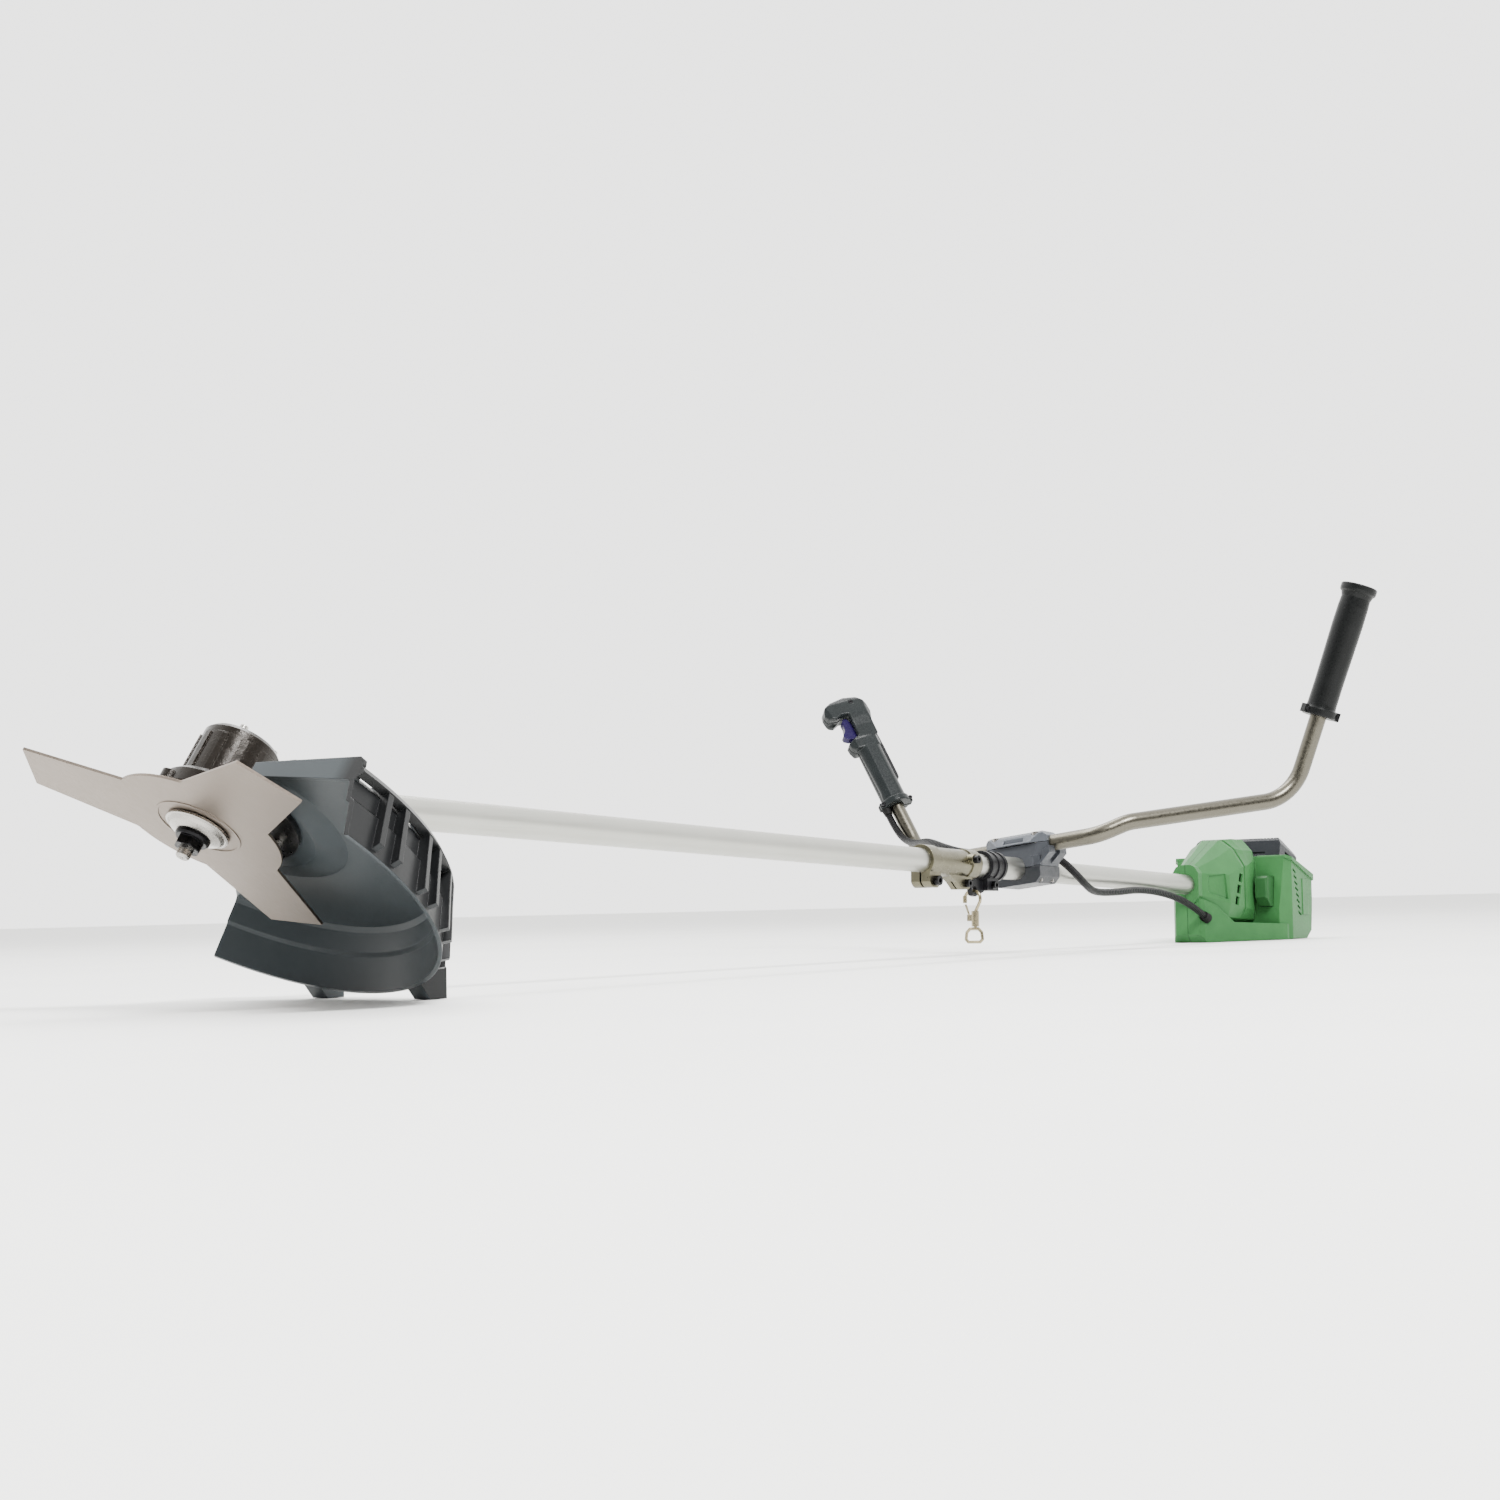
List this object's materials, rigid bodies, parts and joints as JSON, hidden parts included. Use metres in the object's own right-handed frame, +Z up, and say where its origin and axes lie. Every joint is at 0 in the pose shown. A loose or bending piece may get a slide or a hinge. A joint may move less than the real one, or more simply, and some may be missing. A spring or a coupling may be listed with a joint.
{
  "type": "brush cutter",
  "caption": "Battery brush cutter: toothed steel blade under a plastic guard, long straight tube, wide handlebar with trigger grip, rear motor and battery housing.",
  "frame": {"origin": "middle of the footprint of the whole machine on the floor it stands on", "axes": "+X from the blade to the motor housing along the tube, +Z up, +Y to the side of the trigger grip"},
  "size_m": [1.894, 0.7688, 0.421],
  "materials": {
    "blade_steel": "satin stamped steel",
    "bright_steel": "zinc plated",
    "dark_steel": "black oxide",
    "gear_steel": "ground, oiled",
    "head_casting": "dark brown-black satin paint on a casting",
    "bearing_steel": "polished",
    "guard_plastic": "satin moulded",
    "black_bracket": "black satin",
    "tube_aluminium": "satin anodised",
    "bushing_plastic": "moulded",
    "cast_aluminium": "die cast, satin",
    "clamp_black": "satin",
    "hook_steel": "nickel plated",
    "bar_aluminium": "champagne anodised",
    "bracket_grey": "cast, satin",
    "bracket_dark": "cast, satin",
    "bracket_light": "cast, satin",
    "grip_black": "soft touch",
    "grip_grey": "soft touch",
    "trigger_violet": "satin",
    "lever_black": "satin",
    "switch_black": "moulded",
    "cable_black": "corrugated conduit",
    "gland_rubber": "moulded",
    "housing_green": "satin moulded",
    "release_dark": "satin",
    "battery_grey": "satin moulded",
    "stator_steel": "laminated",
    "fan_white": "moulded",
    "board_green": "solder mask"
  },
  "bodies": {
    "machine": {"gear_case": "head_casting", "gear_case_cap": "head_casting", "cap_screws": "bright_steel", "case_screws": "bright_steel", "neck_clamp_screws": "bright_steel", "spindle_bearings": "bearing_steel", "pinion_bearings": "bearing_steel", "guard": "guard_plastic", "guard_bracket": "black_bracket", "guard_screws": "bright_steel", "lower_tube": "tube_aluminium", "upper_tube": "tube_aluminium", "shaft_bushings": "bushing_plastic", "shaft_coupler": "cast_aluminium", "coupler_screws": "dark_steel", "handlebar": "bar_aluminium", "bracket_base": "bracket_grey", "bracket_tube_cap": "bracket_dark", "bracket_bar_cap": "bracket_light", "bracket_screws": "bright_steel", "plain_grip": "grip_black", "plain_grip_screws": "dark_steel", "trigger_grip_outer_shell": "grip_grey", "trigger_grip_inner_shell": "grip_grey", "grip_pivot_pins": "bright_steel", "trigger_switch": "switch_black", "trigger_grip_screws": "dark_steel", "control_cable": "cable_black", "grip_cable_gland": "gland_rubber", "housing_cable_gland": "gland_rubber", "housing_left_shell": "housing_green", "housing_right_shell": "housing_green", "housing_screws": "dark_steel", "battery_terminal_block": "switch_black", "motor_stator": "stator_steel", "motor_mounts": "cast_aluminium", "motor_bearings": "bearing_steel", "controller_board": "board_green", "controller_heat_sink": "cast_aluminium"},
    "cutter": {"blade": "blade_steel", "spindle": "bright_steel", "drive_flange": "bright_steel", "rider_plate": "bright_steel", "blade_nut": "dark_steel", "crown_gear": "gear_steel"},
    "drive_line": {"pinion_gear": "gear_steel", "drive_shaft_lower": "bright_steel", "drive_shaft_upper": "bright_steel", "shaft_joint_sleeve": "bright_steel", "motor_rotor": "stator_steel", "cooling_fan": "fan_white"},
    "trigger": {"throttle_trigger": "trigger_violet"},
    "lockout": {"lockout_lever": "lever_black"},
    "battery": {"battery_pack": "battery_grey"},
    "release": {"battery_release": "release_dark"},
    "harness_slider": {"harness_clamp": "clamp_black", "harness_clamp_screw": "dark_steel"},
    "hook": {"snap_hook": "hook_steel"},
    "gate": {"snap_hook_gate": "hook_steel"},
    "loop": {"strap_loop": "hook_steel"}
  },
  "joints": [
    {"name": "blade_spin", "type": "hinge", "parent": "machine", "child": "cutter", "pos_m": [-0.86203, -0.0373, 0.12555], "axis": [0.5427, 0, 0.8399], "continuous": true},
    {"name": "drive_spin", "type": "hinge", "parent": "machine", "child": "drive_line", "pos_m": [0.13887, -0.0373, 0.10278], "axis": [0.999, 0, -0.0448], "continuous": true},
    {"name": "trigger_pull", "type": "hinge", "parent": "machine", "child": "trigger", "pos_m": [0.49028, 0.33096, 0.28978], "axis": [0.5872, 0.6551, -0.4755], "range_deg": [0, 9], "stiffness_Nm_per_rad": 0.8, "springref_deg": -6.88},
    {"name": "lockout_press", "type": "hinge", "parent": "machine", "child": "lockout", "pos_m": [0.50577, 0.32633, 0.30253], "axis": [0.5872, 0.6551, -0.4755], "range_deg": [0, 2.4], "stiffness_Nm_per_rad": 4, "springref_deg": -1.72},
    {"name": "battery_slide", "type": "slide", "parent": "machine", "child": "battery", "axis": [0.3448, 0, 0.9387], "range_m": [0, 0.09]},
    {"name": "release_press", "type": "slide", "parent": "machine", "child": "release", "axis": [0.999, 0, -0.0448], "range_m": [0, 0.003], "stiffness_N_per_m": 900, "springref_m": -0.003},
    {"name": "harness_slide", "type": "slide", "parent": "machine", "child": "harness_slider", "axis": [0.999, 0, -0.0448], "range_m": [0, 0.04]},
    {"name": "hook_swing", "type": "hinge", "parent": "harness_slider", "child": "hook", "pos_m": [0.15962, -0.0373, 0.07433], "axis": [0, 1, 0], "range_deg": [-50, 50]},
    {"name": "gate_open", "type": "hinge", "parent": "hook", "child": "gate", "pos_m": [0.15823, -0.0339, 0.04336], "axis": [0.999, 0, -0.0448], "range_deg": [0, 25], "stiffness_Nm_per_rad": 0.03, "springref_deg": -17.19},
    {"name": "loop_swivel", "type": "hinge", "parent": "hook", "child": "loop", "pos_m": [0.15794, -0.04031, 0.03686], "axis": [0.0448, 0, 0.999], "continuous": true}
  ],
  "couplings": [
    {"joint": "drive_spin", "follows": "blade_spin", "ratio": 2}
  ]
}
